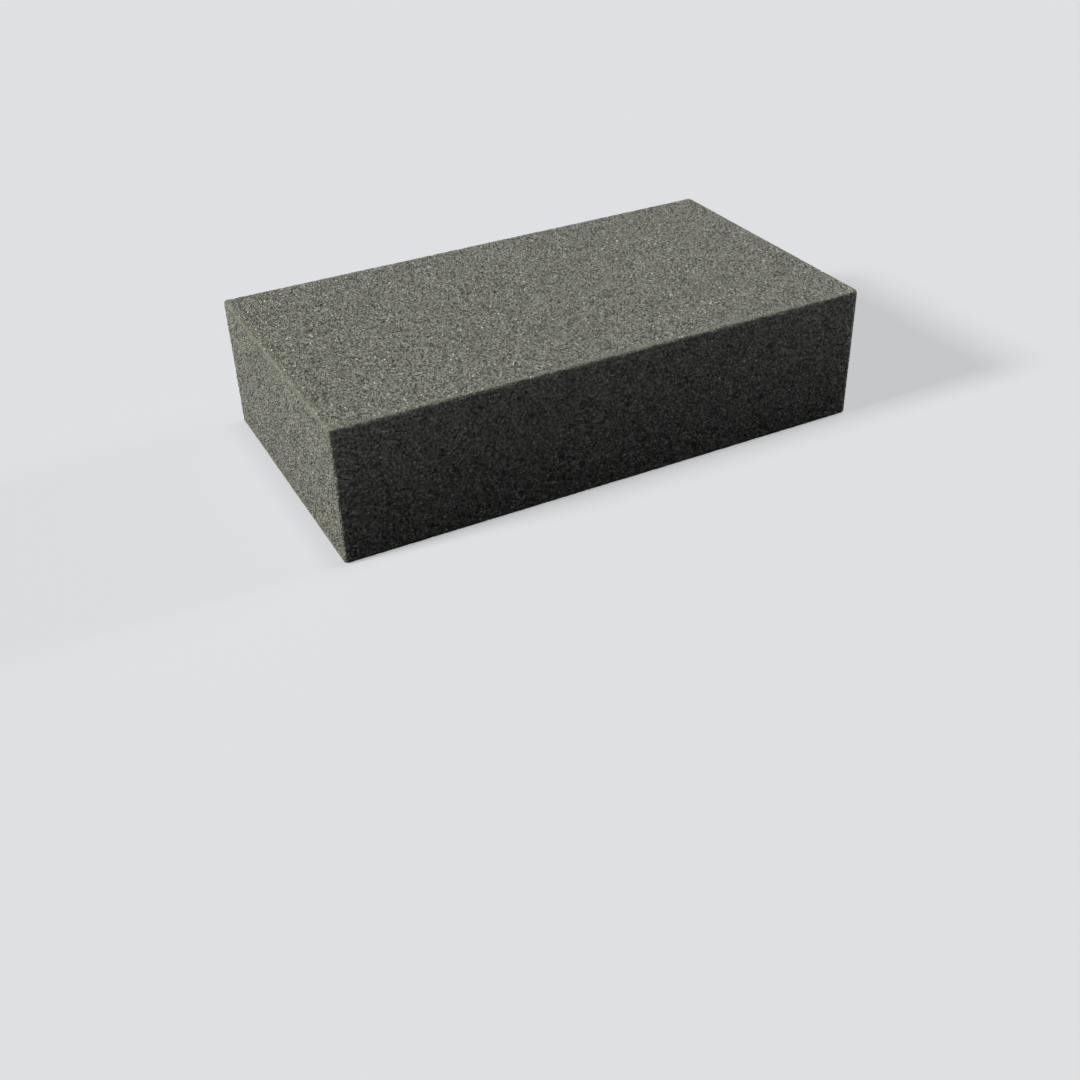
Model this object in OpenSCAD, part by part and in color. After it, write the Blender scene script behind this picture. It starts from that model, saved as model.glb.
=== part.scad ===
// Car wash sponge: one rectangular block cut from open-cell foam.
// The saw leaves softened edges, and opens the larger cells on all six faces.
// Millimetres. The block lies flat on its widest face, with the origin at the
// middle of that face, its length along X, its width along Y and +Z up.

/* [Block] */
// Length of the block, along X
block_length = 200; // [140:5:260]
// Width of the block, along Y
block_width = 110; // [80:5:150]
// Thickness of the block, along Z
block_height = 50; // [30:1:80]
// Radius of the softened edges
edge_radius = 1.5; // [0.8:0.1:4]

/* [Open cells] */
// Mean distance from one large cell to the next
cell_spacing = 11.3; // [10:0.1:16]
// Width of the smallest of the large cells
cell_min = 1.5; // [1:0.1:2]
// Width of the largest of them
cell_max = 3.4; // [2.2:0.1:4.5]
// Length of a cell for each millimetre of its width
cell_stretch = 0.9; // [0.7:0.05:1.2]
// Most that a cell leans from square to its face, in degrees
cell_lean = 35; // [0:1:40]
// Whole foam between a cell and the start of a softened edge
cell_margin = 0.6; // [0.4:0.1:2]

/* [Hidden] */

FOAM_GREY = [0.43, 0.43, 0.40];
EDGE_FACETS = 32;

// Each face has its own seed, so that no two faces show the same cells
TOP_SEED = 1;
UNDER_SEED = 2;
SIDE_SEEDS = [3, 4];
END_SEEDS = [5, 6];
// A cell strays this share of the spacing from its place in even rows, which hides the rows
STRAY = 0.45;
// A cell's middle lies this share of its width below the face that cuts it
SINK = 0.15;
// Numbers drawn for each cell: two for its place, one for its size and three for its turn
DRAWS = 6;

// Small cells outnumber large ones
function cell_width(pick) = cell_min + (cell_max - cell_min) * pick * pick;

module rounded_rectangle(length, width) {
    square([length - 2 * edge_radius, width], center = true);
    square([length, width - 2 * edge_radius], center = true);
    for (x = [-1, 1], y = [-1, 1])
        translate([x * (length / 2 - edge_radius), y * (width / 2 - edge_radius)])
            circle(edge_radius, $fn = EDGE_FACETS);
}

// Three rounded outlines, one along each axis, leave all twelve edges soft
module sawn_block() {
    intersection() {
        linear_extrude(block_height)
            rounded_rectangle(block_length, block_width);
        translate([0, block_width / 2, block_height / 2]) rotate([90, 0, 0])
            linear_extrude(block_width)
                rounded_rectangle(block_length, block_height);
        translate([-block_length / 2, 0, block_height / 2]) rotate([90, 0, 90])
            linear_extrude(block_length)
                rounded_rectangle(block_width, block_height);
    }
}

// A foam cell has flat walls where it met its neighbours: five or six sides and two ends
module cell(width, sides, lean, bearing, twist) {
    rotate([0, lean, bearing]) rotate(twist)
        cylinder(h = width * cell_stretch, d = width, center = true, $fn = sides);
}

// The large cells of one face, which is at z = 0 with the foam below it.
// The middle of the face stays whole, so that the block can be measured and rested there.
module cell_field(length, width, seed) {
    border = edge_radius + cell_margin + cell_max / 2;
    room = [length - 2 * border, width - 2 * border];
    counts = [for (side = room) round(side / cell_spacing)];
    pitch = [room.x / counts.x, room.y / counts.y];
    draws = rands(0, 1, DRAWS * counts.x * counts.y, seed);
    for (column = [0:counts.x - 1], row = [0:counts.y - 1]) {
        index = column * counts.y + row;
        draw = [for (k = [0:DRAWS - 1]) draws[index * DRAWS + k]];
        x = (column + 0.5 + STRAY * (2 * draw[0] - 1)) * pitch.x - room.x / 2;
        y = (row + 0.5 + STRAY * (2 * draw[1] - 1)) * pitch.y - room.y / 2;
        across = cell_width(draw[2]);
        if (norm([x, y]) > cell_max)
            translate([x, y, -SINK * across])
                cell(across, 5 + index % 2, cell_lean * draw[3], 360 * draw[4], 360 * draw[5]);
    }
}

module opened_cells() {
    translate([0, 0, block_height]) cell_field(block_length, block_width, TOP_SEED);
    rotate([180, 0, 0]) cell_field(block_length, block_width, UNDER_SEED);
    for (turn = [0, 1]) rotate(180 * turn) {
        translate([0, -block_width / 2, block_height / 2]) rotate([90, 0, 0])
            cell_field(block_length, block_height, SIDE_SEEDS[turn]);
        translate([block_length / 2, 0, block_height / 2]) rotate([90, 0, 90])
            cell_field(block_width, block_height, END_SEEDS[turn]);
    }
}

module foam_block() {
    color(FOAM_GREY) difference() {
        sawn_block();
        opened_cells();
    }
}

foam_block();
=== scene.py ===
import math

import bpy
import numpy as np
from mathutils import Matrix, Vector
from mathutils.geometry import delaunay_2d_cdt


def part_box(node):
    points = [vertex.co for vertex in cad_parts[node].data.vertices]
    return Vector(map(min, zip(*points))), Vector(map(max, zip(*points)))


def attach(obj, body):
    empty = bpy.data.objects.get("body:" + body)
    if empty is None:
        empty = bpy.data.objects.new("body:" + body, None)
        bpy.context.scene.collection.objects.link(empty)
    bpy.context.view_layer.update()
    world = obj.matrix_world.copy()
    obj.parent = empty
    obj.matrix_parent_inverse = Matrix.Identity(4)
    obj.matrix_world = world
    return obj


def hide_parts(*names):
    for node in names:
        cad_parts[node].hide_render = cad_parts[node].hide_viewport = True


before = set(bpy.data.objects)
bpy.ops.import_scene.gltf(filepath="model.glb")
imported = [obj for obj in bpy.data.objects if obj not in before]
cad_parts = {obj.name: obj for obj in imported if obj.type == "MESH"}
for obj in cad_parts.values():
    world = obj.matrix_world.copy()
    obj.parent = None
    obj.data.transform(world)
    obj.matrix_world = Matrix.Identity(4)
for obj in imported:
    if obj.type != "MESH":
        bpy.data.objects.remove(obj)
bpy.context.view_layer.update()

MM = 0.001
LOW, HIGH = (np.array(corner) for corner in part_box("foam_block"))
MIDDLE = (LOW + HIGH) / 2
HALF = (HIGH - LOW) / 2

# Where the fine cells lie: in staggered rows, each moved off its place by up to a share of the spacing
CELL_SPACING = 1.572 * MM
CELL_SCATTER = 0.28
EDGE_SCATTER = 0.25
LEAST_GAP = 0.55 * CELL_SPACING

# How deep the opened cells are, as shares of their radius, and how many are deeper still
PIT_DEPTHS = (0.45, 0.85)
DEEP_SHARE = 0.08
DEEPER = 1.4

# What the saw leaves: sunken tufts, rough struts, some of them torn off in part, and slow waves
TUFT_DEPTH = 0.08 * MM
SAW_ROUGHNESS = 0.18 * MM
TORN_SHARE = 0.25
TORN_PARTS = (0.3, 1)
TORN_DEPTH = 0.25 * MM
WAVE_DEPTH = 0.06 * MM

# The block's edges are rounded. Towards them the cells get shallower and more even, most of all on them.
EDGE_RADIUS = 1.5 * MM
CALM_WIDTH = 1.9 * MM
PIT_CALM = 0.8
TUFT_CALM = 0.9
ON_EDGE = 0.9
ON_EDGE_DEPTH = 0.2

# How a large cell of the CAD block is told from its rounded edges, and how far it keeps small cells off
RECESS = 0.06 * MM
MOUTH = 0.01 * MM
FLOOR_SHARE = 0.6
KEEP_OFF = 1.55
LEAST_KEEP_OFF = 0.8 * CELL_SPACING

# How hollow each point is, which the material reads to paint shade down in the cells: 0 on the highest
# tips, and 1 in a pit of full depth
FULL_DEPTH = 0.9 * MM
LEAST_PIT_HOLLOW = 0.4
TIP_HOLLOW = 0.25
TORN_HOLLOW = 0.3
LARGE_HOLLOW = 1.7

# How far the olive band of painted edge light reaches from the block's edges
RIM_WIDTH = 2.8 * MM

# Points that agree to this many decimals of a metre are one point
DECIMALS = 6

# What delaunay_2d_cdt is asked for: triangles out to the hull, and points this near, in mm, taken as one
WHOLE_HULL = 0
MERGE_WITHIN = 1e-6

# The photograph's camera, in the block's frame: angles in degrees, and lens and sensor in millimetres
CAMERA_PLACE = Vector((-0.1986, -0.3926, 0.2444))
CAMERA_AZIMUTH = -26.55
CAMERA_ELEVATION = 34.36
CAMERA_ROLL = 1.82
CAMERA_LENS = 44.06
CAMERA_SENSOR = 36

SEED = 11
rng = np.random.default_rng(SEED)


# ---------------------------------------------------------------- the block's six sides

class Side:
    """One flat side of the block: its two directions, its outward one, and its place on the map sheet."""

    def __init__(self, across, up, out, sheet_place):
        self.across, self.up, self.out = (np.array(way, float) for way in (across, up, out))
        self.half = np.array([abs(self.across @ HALF), abs(self.up @ HALF)])
        self.reach = abs(self.out @ HALF)
        self.sheet_place = np.array(sheet_place, float)

    def place(self, flat):
        """Points of the side, given as distances across and up from its middle."""
        flat = np.atleast_2d(flat)
        return MIDDLE + self.out * self.reach + flat[:, :1] * self.across + flat[:, 1:] * self.up

    def flatten(self, points):
        """The reverse of place. A point just round an edge is folded out past that edge."""
        offset = points - MIDDLE
        flat = np.stack([offset @ self.across, offset @ self.up], axis=1)
        below = self.reach - offset @ self.out
        past = np.abs(flat) - self.half
        over = (past >= past.max(axis=1, keepdims=True)) & (below[:, None] > 0)
        return flat + np.sign(flat) * over * below[:, None]


# The sides as they lie on the map sheet: four in one column, and the two ends in another
LENGTH, WIDTH, HEIGHT = 2 * HALF
SHEET_GAP = 4 * MM
ROW = SHEET_GAP * np.arange(4) + np.cumsum([0, WIDTH, WIDTH, HEIGHT])
COLUMN = LENGTH + SHEET_GAP
TOP = Side((1, 0, 0), (0, 1, 0), (0, 0, 1), (0, ROW[0]))
UNDERSIDE = Side((1, 0, 0), (0, -1, 0), (0, 0, -1), (0, ROW[1]))
FRONT = Side((1, 0, 0), (0, 0, 1), (0, -1, 0), (0, ROW[2]))
BACK = Side((-1, 0, 0), (0, 0, 1), (0, 1, 0), (0, ROW[3]))
RIGHT = Side((0, 1, 0), (0, 0, 1), (1, 0, 0), (COLUMN, ROW[0]))
LEFT = Side((0, -1, 0), (0, 0, 1), (-1, 0, 0), (COLUMN, HEIGHT + SHEET_GAP))
SIDES = [TOP, UNDERSIDE, FRONT, BACK, RIGHT, LEFT]


def below_surface(points):
    """How deep points lie under the block's surface with its softened edges."""
    beyond = np.abs(points - MIDDLE) - (HALF - EDGE_RADIUS)
    outside = np.linalg.norm(np.maximum(beyond, 0), axis=1)
    inside = np.minimum(beyond.max(axis=1), 0)
    return EDGE_RADIUS - outside - inside


def soften(points):
    """Points of the sharp block, moved onto its softened edges, with their outward directions."""
    core = np.clip(points, LOW + EDGE_RADIUS, HIGH - EDGE_RADIUS)
    outward = points - core
    outward /= np.linalg.norm(outward, axis=1, keepdims=True)
    return core + EDGE_RADIUS * outward, outward


# ---------------------------------------------------------------- the CAD block's large cells

def linked_groups(triangles):
    """Groups of triangles that share corners, each as a list of its corners."""
    leader = {}

    def find(corner):
        while leader.setdefault(corner, corner) != corner:
            leader[corner] = leader[leader[corner]]
            corner = leader[corner]
        return corner

    for a, b, c in triangles.tolist():
        leader[find(a)] = find(b)
        leader[find(b)] = find(c)
    groups = {}
    for corner in list(leader):
        groups.setdefault(find(corner), []).append(corner)
    return list(groups.values())


def large_cells(node):
    """The middle, radius and floor of each large cell that is cut into the CAD block."""
    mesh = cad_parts[node].data
    mesh.calc_loop_triangles()
    places = np.empty(len(mesh.vertices) * 3)
    mesh.vertices.foreach_get("co", places)
    places, merged = np.unique(np.round(places.reshape(-1, 3), DECIMALS), axis=0, return_inverse=True)
    corners = np.empty(len(mesh.loop_triangles) * 3, np.int32)
    mesh.loop_triangles.foreach_get("vertices", corners)
    triangles = merged.reshape(-1)[corners].reshape(-1, 3)
    recessed = below_surface(places[triangles].mean(axis=1)) > RECESS
    cells = []
    for group in linked_groups(triangles[recessed]):
        points = places[group]
        depth = below_surface(points)
        mouth = points[depth < MOUTH]
        floor = points[depth > depth.max() * FLOOR_SHARE].mean(axis=0)
        middle = mouth.mean(axis=0)
        radius = np.linalg.norm(mouth - middle, axis=1).mean()
        cells.append((middle, radius, floor))
    return cells


# ---------------------------------------------------------------- where the cells lie

def edge_points(start, end):
    """Points along one edge of the block, unevenly spaced, without its two corners."""
    count = round(np.linalg.norm(end - start) / CELL_SPACING)
    share = (np.arange(1, count) + rng.uniform(-EDGE_SCATTER, EDGE_SCATTER, count - 1)) / count
    return start + share[:, None] * (end - start)


def scattered(side):
    """Points inside one side: staggered rows, each point moved off its place."""
    row_step = CELL_SPACING * math.sqrt(3) / 2
    rows = int(2 * side.half[1] / row_step)
    columns = int(2 * side.half[0] / CELL_SPACING) + 1
    row, column = np.meshgrid(np.arange(rows + 1), np.arange(columns + 1), indexing="ij")
    flat = np.stack([
        (column + 0.5 * (row % 2)) * CELL_SPACING - side.half[0],
        row * row_step - side.half[1],
    ], axis=-1).reshape(-1, 2)
    flat += rng.uniform(-CELL_SCATTER, CELL_SCATTER, flat.shape) * CELL_SPACING
    return flat[(np.abs(flat) < side.half - LEAST_GAP).all(axis=1)]


class Sites:
    """The middles of all the cells, on the sharp block, with the large cells' floors."""

    def __init__(self):
        self.places = []
        self.floors = {}
        self.corners = {}
        self.edges = {}

    def add(self, points):
        """Adds points and returns their numbers."""
        first = len(self.places)
        self.places.extend(np.atleast_2d(points))
        return list(range(first, len(self.places)))

    def corner(self, place):
        """The number of one of the block's corners, which three sides share."""
        key = tuple(np.round(place, DECIMALS))
        if key not in self.corners:
            self.corners[key] = self.add(place)[0]
        return self.corners[key]

    def border(self, side):
        """The numbers of the corners and edge points round one side, which its neighbours share."""
        turns = np.array([(-1, -1), (1, -1), (1, 1), (-1, 1)]) * side.half
        corners = side.place(turns)
        numbers = [self.corner(corner) for corner in corners]
        for a, b in ((0, 1), (1, 2), (2, 3), (3, 0)):
            key = tuple(sorted((self.corner(corners[a]), self.corner(corners[b]))))
            if key not in self.edges:
                self.edges[key] = self.add(edge_points(corners[a], corners[b]))
            numbers += self.edges[key]
        return numbers


def fill_side(side, sites, cells):
    """Adds one side's cells and returns its triangles, which join the middles of neighbouring cells."""
    numbers = sites.border(side)
    flat = scattered(side)
    for middle, radius, floor in cells:
        if (middle - MIDDLE) @ side.out > side.reach - MOUTH:
            centre = side.flatten(middle[None])[0]
            away = np.linalg.norm(flat - centre, axis=1)
            flat = flat[away > max(KEEP_OFF * radius, LEAST_KEEP_OFF)]
            new = sites.add(middle)
            sites.floors[new[0]] = floor
            numbers += new
    numbers += sites.add(side.place(flat))
    corners = side.flatten(np.array([sites.places[number] for number in numbers])) / MM
    joined = delaunay_2d_cdt([Vector(corner) for corner in corners], [], [], WHOLE_HULL, MERGE_WITHIN)
    triangles, sources = joined[2:4]
    found = [numbers[source[0]] for source in sources]
    return [[found[corner] for corner in triangle] for triangle in triangles]


# ---------------------------------------------------------------- the foam's surface

def opened_surface(middles, triangles):
    """Turns the joined middles inside out: each middle will sink to a cell's floor, and each triangle's
    own middle becomes the strut where three cells meet. Returns the struts, the faces between middles
    and struts, and the triangle on the left of each face."""
    struts = middles[triangles].mean(axis=1)
    edge_from = triangles.reshape(-1)
    edge_to = np.roll(triangles, -1, axis=1).reshape(-1)
    edges = list(zip(edge_from.tolist(), edge_to.tolist()))
    left = np.repeat(np.arange(len(triangles)), 3)
    left_of = dict(zip(edges, left.tolist()))
    right = np.array([left_of[(b, a)] for a, b in edges])
    faces = np.stack([edge_from, len(middles) + right, len(middles) + left], axis=1)
    return struts, faces, left


def cell_radii(middles, struts, triangles):
    """Mean distance from each cell's middle to the struts round it."""
    reach = np.linalg.norm(middles[triangles] - struts[:, None], axis=2)
    total = np.bincount(triangles.reshape(-1), reach.reshape(-1), len(middles))
    return total / np.bincount(triangles.reshape(-1), minlength=len(middles))


def edge_nearness(points, width):
    """1 on the block's edges, falling to 0 at the given width from them."""
    gaps = np.sort(HALF - np.abs(points - MIDDLE), axis=1)
    return np.clip(1 - gaps[:, 1] / width, 0, 1)


def waves(points):
    """The slow unevenness that the saw leaves, from 0 down to -1: the sum of three waves. The numbers
    under x, y and z are wavelengths divided by 2 pi, so the waves are 44 to 145 mm long."""
    x, y, z = (points / MM).T
    wave = np.sin(x / 11 + 1.3 * np.sin(y / 17)) + np.sin(y / 9 + z / 7 + 2) + np.sin(z / 8 + x / 23)
    return wave / 6 - 0.5


def all_cells():
    """The cells of all the sides, the triangles that join them, and the side of each triangle."""
    cells = large_cells("foam_block")
    sites = Sites()
    triangles, owner = [], []
    for number, side in enumerate(SIDES):
        found = fill_side(side, sites, cells)
        triangles += found
        owner += [number] * len(found)
    return sites, np.array(triangles), np.array(owner)


def pit_depths(middles, radius):
    """How deep each cell is: a share of its radius, a few deeper, and shallow along the block's edges."""
    near_edge = edge_nearness(middles, CALM_WIDTH)
    depth = radius * rng.uniform(*PIT_DEPTHS, len(middles)) * (1 - PIT_CALM * near_edge)
    depth = np.where(rng.random(len(middles)) < DEEP_SHARE, depth * DEEPER, depth)
    depth[near_edge > ON_EDGE] *= ON_EDGE_DEPTH
    return depth


def tuft_sag(middles):
    """How far each cell has sunk with the tuft of foam round it."""
    near_edge = edge_nearness(middles, CALM_WIDTH)
    return TUFT_DEPTH * rng.random(len(middles)) * (1 - TUFT_CALM * near_edge)


def torn_parts(struts):
    """How much of each strut the saw has torn off: none of most, and none right on the block's edges."""
    torn = (rng.random(len(struts)) < TORN_SHARE) * rng.uniform(*TORN_PARTS, len(struts))
    return torn * (1 - edge_nearness(struts, CALM_WIDTH))


def sheet_places(sharp, faces, side_of_face):
    """Where each corner of each face lies on the sheet on which the six sides are laid out flat."""
    flat = np.empty((len(faces), 3, 2))
    for number, side in enumerate(SIDES):
        mine = side_of_face == number
        corners = side.flatten(sharp[faces[mine]].reshape(-1, 3))
        flat[mine] = (corners + side.half + side.sheet_place + SHEET_GAP / 2).reshape(-1, 3, 2)
    return flat.reshape(-1, 2)


def foam_surface():
    """The whole foam surface: its points and faces, their places on the map sheet, and how hollow
    and how near the block's rim each point is, which the material reads to paint shade in the cells and
    light along the rim."""
    sites, triangles, owner = all_cells()
    middles = np.array(sites.places)
    struts, faces, left = opened_surface(middles, triangles)
    depth = pit_depths(middles, cell_radii(middles, struts, triangles))
    sag = tuft_sag(middles)
    torn = torn_parts(struts)

    pits, pit_out = soften(middles)
    pits += pit_out * (WAVE_DEPTH * waves(pits) - depth - sag)[:, None]
    for cell, floor in sites.floors.items():
        pits[cell] = floor
    tips, tip_out = soften(struts)
    drop = SAW_ROUGHNESS * rng.random(len(tips)) + TORN_DEPTH * torn + sag[triangles].mean(axis=1)
    tips += tip_out * (WAVE_DEPTH * waves(tips) - drop)[:, None]

    pit_hollow = np.clip(depth / FULL_DEPTH, LEAST_PIT_HOLLOW, 1)
    pit_hollow[list(sites.floors)] = LARGE_HOLLOW
    tip_hollow = TIP_HOLLOW * rng.random(len(tips)) ** 2 + TORN_HOLLOW * torn
    sharp = np.concatenate([middles, struts])
    return (
        np.concatenate([pits, tips]),
        faces,
        sheet_places(sharp, faces, owner[left]),
        np.concatenate([pit_hollow, tip_hollow]),
        edge_nearness(sharp, RIM_WIDTH),
    )


def foam_mesh(name):
    """The foam surface as a mesh, with its map sheet and the two values that the material reads."""
    points, faces, flat, hollow, rim = foam_surface()
    mesh = bpy.data.meshes.new(name)
    mesh.from_pydata(points.tolist(), [], faces.tolist())
    mesh.polygons.foreach_set("use_smooth", np.ones(len(faces), bool))
    sheet = max(flat.max(axis=0)) + SHEET_GAP / 2
    mesh.uv_layers.new(name="OFBake").data.foreach_set("uv", (flat / sheet).reshape(-1))
    for label, values in (("hollow", hollow), ("rim", rim)):
        mesh.attributes.new(label, "FLOAT", "POINT").data.foreach_set("value", values)
    mesh.update()
    foam = bpy.data.objects.new(name, mesh)
    bpy.context.collection.objects.link(foam)
    return foam


# ---------------------------------------------------------------- nodes

def add_node(tree, kind, inputs, **settings):
    """A new node with its settings. Each of its inputs is a value, or another node's output."""
    node = tree.nodes.new(kind)
    for name, value in settings.items():
        setattr(node, name, value)
    for socket, value in inputs.items():
        if isinstance(value, bpy.types.NodeSocket):
            tree.links.new(value, node.inputs[socket])
        else:
            node.inputs[socket].default_value = value
    return node


def math_node(tree, operation, *values):
    """One step of arithmetic on its values, in order."""
    return add_node(tree, "ShaderNodeMath", dict(enumerate(values)), operation=operation).outputs[0]


def product(tree, first, second):
    return math_node(tree, "MULTIPLY", first, second)


def plus(tree, first, share, second):
    """The first value, plus a share of the second."""
    return math_node(tree, "MULTIPLY_ADD", second, share, first)


def rising(tree, value, start, end):
    """0 up to the start of a range, rising to 1 at its end."""
    inputs = {"Value": value, "From Min": start, "From Max": end}
    return add_node(tree, "ShaderNodeMapRange", inputs).outputs[0]


def falling(tree, value, start, end, curve="LINEAR"):
    """1 up to the start of a range, falling to 0 at its end."""
    inputs = {"Value": value, "From Min": start, "From Max": end, "To Min": 1, "To Max": 0}
    return add_node(tree, "ShaderNodeMapRange", inputs, interpolation_type=curve).outputs[0]


def mixed(tree, share, first, second):
    """The first colour, turned into the second by a share."""
    inputs = {"Factor": share, "A": first, "B": second}
    return add_node(tree, "ShaderNodeMix", inputs, data_type="RGBA").outputs["Result"]


def cell_edges(tree, scale, places):
    """The distance to the nearest wall between random cells, of which scale fit in a metre."""
    inputs = {"Scale": scale, "Vector": places}
    return add_node(tree, "ShaderNodeTexVoronoi", inputs, feature="DISTANCE_TO_EDGE").outputs["Distance"]


def camera_sees(tree, seen, unseen, output):
    """Shows one shader to the camera, and another to all other rays."""
    path = add_node(tree, "ShaderNodeLightPath", {})
    inputs = {0: path.outputs["Is Camera Ray"], 1: unseen.outputs[0], 2: seen.outputs[0]}
    choice = add_node(tree, "ShaderNodeMixShader", inputs)
    tree.links.new(choice.outputs[0], tree.nodes[output].inputs["Surface"])


# ---------------------------------------------------------------- the foam's material

# How many of each pattern's cells fit in a metre, and between which of its values it fades
GRAIN_SCALE = 1500
GRAIN_DETAIL = 2
STRAND_SCALE = 900
STRAND_FADE = (0, 0.25)
GAP_SCALE = 720
GAP_FADE = (0.04, 0.20)
PATCH_SCALE = 1000
PATCH_FADE = (0.42, 0.52)
FLECK_SCALE = 1000
FLECK_FADE = (0.18, 0.46)

# How far the grain bends the strands, and how few of the flecks, which are painted glints, are strong
STRAND_BEND = 0.0006
FLECK_RARITY = 6

# The foam's colours from its tips down to its deepest floors, and how far along them a depth of 1 goes:
# pale tips as painted highlight, and dark floors as painted shade down in the cells
DEPTH_SHADE_COLOURS = [
    (0.05, (0.435, 0.435, 0.352, 1)),
    (0.17, (0.302, 0.302, 0.237, 1)),
    (0.30, (0.258, 0.258, 0.201, 1)),
    (0.60, (0.221, 0.221, 0.172, 1)),
    (0.85, (0.05, 0.05, 0.042, 1)),
]
DEPTH_STEP = 0.5

# What the grain adds to the depth, and what the strands take off it, which pales them as painted
# highlight
GRAIN_SHADE = 0.45
STRAND_LIGHT = 0.30

# The colours laid over those: painted shadow in the gaps between strands, an olive band of painted edge
# light along the rim, and painted glints. Towards the rim the painted gap shadow fades and the rim's
# painted light grows, each by its share.
GAP_SHADOW_COLOUR = (0.065, 0.065, 0.054, 1)
GAP_RIM_SHARE = 0.8
RIM_LIGHT_COLOUR = (0.19, 0.20, 0.12, 1)
RIM_LIGHT_SHARE = 0.6
GLINT_COLOUR = (0.93, 0.95, 0.97, 1)

# How the strands stand out of the foam and catch the light
STRAND_HEIGHT = 0.55 * MM
GRAIN_HEIGHT = 0.60 * MM
ROUGHNESS = 0.8
STRAND_GLOSS = 0.40
SPECULAR = 0.45


def depth_shade_colour(tree, hollow, grain, strand):
    """Painted highlight and shade: pale on tips and strands, and darker down in the cells, unevenly by
    the grain.
    """
    depth = plus(tree, plus(tree, hollow, GRAIN_SHADE, grain), -STRAND_LIGHT, strand)
    ramp = add_node(tree, "ShaderNodeValToRGB", {"Fac": product(tree, depth, DEPTH_STEP)})
    steps = ramp.color_ramp.elements
    steps.remove(steps[1])
    steps[0].position, steps[0].color = DEPTH_SHADE_COLOURS[0]
    for position, colour in DEPTH_SHADE_COLOURS[1:]:
        steps.new(position).color = colour
    return ramp.outputs["Color"]


def gap_shadows(tree, place, bent, rim):
    """Painted shadow in the gaps between strands: short dark lines, since they show in patches, and faint
    near the rim.
    """
    gap = falling(tree, cell_edges(tree, GAP_SCALE, bent), *GAP_FADE)
    noise = add_node(tree, "ShaderNodeTexNoise", {"Scale": PATCH_SCALE, "Vector": place})
    patch = rising(tree, noise.outputs["Fac"], *PATCH_FADE)
    inner = plus(tree, 1, -GAP_RIM_SHARE, rim)
    return product(tree, product(tree, gap, patch), inner)


def painted_glints(tree, place):
    """Painted glints: small round near-white flecks, of which few are strong."""
    cells = add_node(tree, "ShaderNodeTexVoronoi", {"Scale": FLECK_SCALE, "Vector": place})
    chance = add_node(tree, "ShaderNodeSeparateColor", {"Color": cells.outputs["Color"]}).outputs["Red"]
    strength = math_node(tree, "POWER", chance, FLECK_RARITY)
    return product(tree, strength, falling(tree, cells.outputs["Distance"], *FLECK_FADE))


def foam_material():
    """Bent strands over a fine grain, coloured by depth as painted shade in the cells and painted
    highlight on tips and strands, with painted shadow in the gaps, an olive rim of painted edge light and
    painted glints.
    """
    material = bpy.data.materials.new("foam")
    material.use_nodes = True
    tree = material.node_tree
    hollow = add_node(tree, "ShaderNodeAttribute", {}, attribute_name="hollow").outputs["Fac"]
    rim = add_node(tree, "ShaderNodeAttribute", {}, attribute_name="rim").outputs["Fac"]
    place = add_node(tree, "ShaderNodeTexCoord", {}).outputs["Object"]
    pattern = {"Scale": GRAIN_SCALE, "Detail": GRAIN_DETAIL, "Vector": place}
    noise = add_node(tree, "ShaderNodeTexNoise", pattern)
    grain = noise.outputs["Fac"]
    bend = {"Factor": STRAND_BEND, "A": place, "B": noise.outputs["Color"]}
    bent = add_node(tree, "ShaderNodeMix", bend, data_type="VECTOR").outputs["Result"]
    strand = falling(tree, cell_edges(tree, STRAND_SCALE, bent), *STRAND_FADE, "SMOOTHSTEP")

    # Painted shade down in the cells and painted highlight on tips and strands
    colour = depth_shade_colour(tree, hollow, grain, strand)
    # Painted shadow in the gaps between strands
    colour = mixed(tree, gap_shadows(tree, place, bent, rim), colour, GAP_SHADOW_COLOUR)
    # An olive band of painted edge light along the rim
    colour = mixed(tree, product(tree, rim, RIM_LIGHT_SHARE), colour, RIM_LIGHT_COLOUR)
    # Painted glints
    colour = mixed(tree, painted_glints(tree, place), colour, GLINT_COLOUR)
    roughness = plus(tree, ROUGHNESS, -STRAND_GLOSS, strand)
    height = plus(tree, product(tree, strand, STRAND_HEIGHT), GRAIN_HEIGHT, grain)
    bump = add_node(tree, "ShaderNodeBump", {"Height": height, "Distance": 1, "Strength": 1})

    shader = tree.nodes["Principled BSDF"]
    tree.links.new(colour, shader.inputs["Base Color"])
    tree.links.new(roughness, shader.inputs["Roughness"])
    tree.links.new(bump.outputs["Normal"], shader.inputs["Normal"])
    shader.inputs["Specular IOR Level"].default_value = SPECULAR
    return material


# ---------------------------------------------------------------- the studio

# The backdrop's colour. The floor's own glow and its lit paint add up to it, so they meet without a line.
PALE = (0.737, 0.745, 0.760, 1)
FLOOR_GLOW = 0.6
FLOOR_PAINT = 0.384
FLOOR_SIZE = 8

# What the floor throws back at the block: little from near by, as in the photograph, and more from afar
DARK_REACH = 120 * MM
PALE_REACH = 260 * MM
NEAR_BOUNCE = (0.03, 0.03, 0.035, 1)
FAR_BOUNCE = (0.50, 0.52, 0.56, 1)

FILL_COLOUR = (0.85, 0.95, 1.35, 1)
FILL_STRENGTH = 0.03

# Each lamp: the direction that it shines from, its strength, and how many degrees wide it looks
LAMPS = {
    "key": ((-0.86, 0.05, 0.50), 3.9, 11),
    "overhead": ((0.10, 0.02, 0.98), 0.92, 10),
    "side": ((0.97, -0.02, 0.22), 1.25, 9),
    "front": ((-0.30, -0.80, 0.52), 0.06, 15),
}


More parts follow.
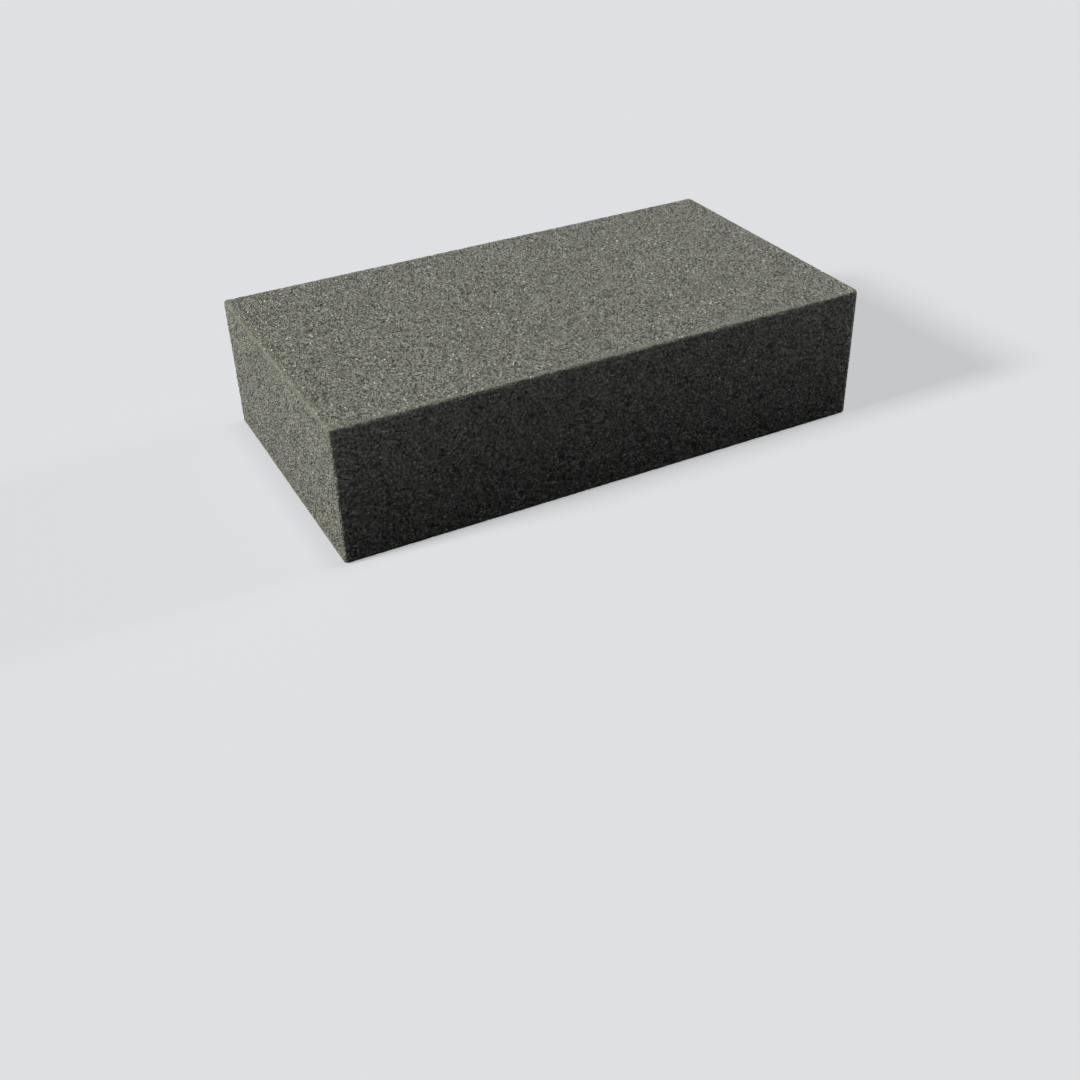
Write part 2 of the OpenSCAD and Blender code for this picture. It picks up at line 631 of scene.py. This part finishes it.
def floor_material():
    """Pale to the camera, with the block's shadow, and darker to the light that it bounces."""
    material = bpy.data.materials.new("studio_floor")
    material.use_nodes = True
    tree = material.node_tree
    tree.nodes.remove(tree.nodes["Principled BSDF"])
    glow = add_node(tree, "ShaderNodeEmission", {"Color": PALE, "Strength": FLOOR_GLOW})
    paint_colour = [channel * FLOOR_PAINT for channel in PALE[:3]] + [1]
    paint = add_node(tree, "ShaderNodeBsdfDiffuse", {"Color": paint_colour})
    seen = add_node(tree, "ShaderNodeAddShader", {0: glow.outputs[0], 1: paint.outputs[0]})
    place = add_node(tree, "ShaderNodeTexCoord", {}).outputs["Object"]
    reach = add_node(tree, "ShaderNodeVectorMath", {0: place}, operation="LENGTH").outputs["Value"]
    bounce = mixed(tree, rising(tree, reach, DARK_REACH, PALE_REACH), NEAR_BOUNCE, FAR_BOUNCE)
    unseen = add_node(tree, "ShaderNodeBsdfDiffuse", {"Color": bounce})
    camera_sees(tree, seen, unseen, "Material Output")
    return material


def add_floor():
    bpy.ops.mesh.primitive_plane_add(size=FLOOR_SIZE, location=(0, 0, LOW[2]))
    floor = bpy.context.object
    floor.name = "studio_floor"
    floor.data.materials.append(floor_material())


def add_world():
    """A faint bluish light from all round, and a pale backdrop that only the camera sees."""
    world = bpy.data.worlds.new("studio")
    world.use_nodes = True
    bpy.context.scene.world = world
    tree = world.node_tree
    fill = tree.nodes["Background"]
    fill.inputs["Color"].default_value = FILL_COLOUR
    fill.inputs["Strength"].default_value = FILL_STRENGTH
    pale = add_node(tree, "ShaderNodeBackground", {"Color": PALE, "Strength": 1})
    camera_sees(tree, pale, fill, "World Output")


def add_sun(name, direction, strength, spread):
    """A far lamp that shines from the given direction, and looks that many degrees wide."""
    lamp = bpy.data.lights.new(name, "SUN")
    lamp.energy = strength
    lamp.angle = math.radians(spread)
    sun = bpy.data.objects.new(name, lamp)
    sun.rotation_euler = Vector(direction).to_track_quat("Z", "Y").to_euler()
    bpy.context.collection.objects.link(sun)


def add_camera():
    """The photograph's camera: its place, and its view turned by azimuth, elevation and roll."""
    azimuth, elevation = math.radians(CAMERA_AZIMUTH), math.radians(CAMERA_ELEVATION)
    back = Vector((
        math.sin(azimuth) * math.cos(elevation),
        -math.cos(azimuth) * math.cos(elevation),
        math.sin(elevation),
    ))
    level = Vector((0, 0, 1)).cross(back).normalized()
    right = Matrix.Rotation(math.radians(CAMERA_ROLL), 3, -back) @ level
    turn = Matrix((right, back.cross(right), back)).transposed().to_4x4()
    camera = bpy.data.objects.new("camera", bpy.data.cameras.new("camera"))
    camera.matrix_world = Matrix.Translation(CAMERA_PLACE) @ turn
    camera.data.lens = CAMERA_LENS
    camera.data.sensor_width = CAMERA_SENSOR
    camera.data.clip_start = 10 * MM
    bpy.context.collection.objects.link(camera)
    bpy.context.scene.camera = camera


add_camera()
add_world()
add_floor()
for name, (direction, strength, spread) in LAMPS.items():
    add_sun(name, direction, strength, spread)

foam = foam_mesh("open_cell_foam")
foam.data.materials.append(foam_material())
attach(foam, "root")
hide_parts("foam_block")

bpy.context.scene.view_settings.view_transform = "Standard"
